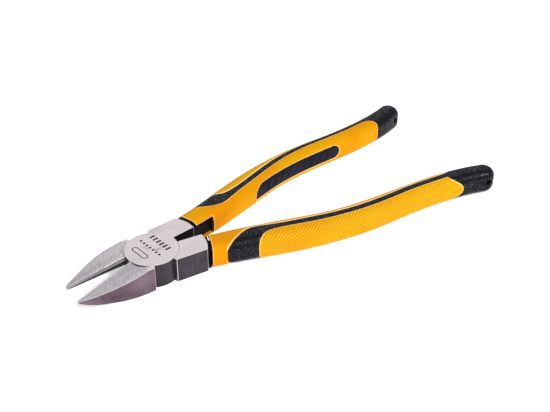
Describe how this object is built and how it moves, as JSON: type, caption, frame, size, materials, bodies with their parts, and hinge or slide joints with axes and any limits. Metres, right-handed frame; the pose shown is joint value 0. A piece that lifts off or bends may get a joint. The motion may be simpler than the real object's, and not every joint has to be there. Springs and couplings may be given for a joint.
{
  "type": "diagonal cutting pliers",
  "caption": "Diagonal cutting pliers with a flush lap joint, ground jaws and two-colour moulded grips; they open and close at the pivot.",
  "frame": {"origin": "on the pivot axis, at the centre of the joint's back face", "axes": "+Z along the pivot from the back face towards the marked face, +X from the pivot to the handle ends and -X to the jaw tips; the two handles lie either side of the XZ plane"},
  "size_m": [0.2, 0.0794, 0.0121],
  "materials": {
    "steel": "satin ground",
    "pin_steel": "ground",
    "black_core": "fine grain",
    "orange_shell": "smooth satin",
    "orange_pad": "fine diamond texture",
    "inlay": "satin"
  },
  "bodies": {
    "over": {"over_half": "steel", "pivot_pin": "pin_steel", "over_core": "black_core", "over_inner_shell": "orange_shell", "over_outer_pad": "orange_pad", "over_inlay": "inlay"},
    "under": {"under_half": "steel", "under_core": "black_core", "under_inner_shell": "orange_shell", "under_outer_pad": "orange_pad", "under_inlay": "inlay"}
  },
  "joints": [
    {"name": "pivot", "type": "hinge", "parent": "over", "child": "under", "pos_m": [0, 0, 0], "axis": [0, 0, -1], "range_deg": [-14.7, 40]}
  ]
}
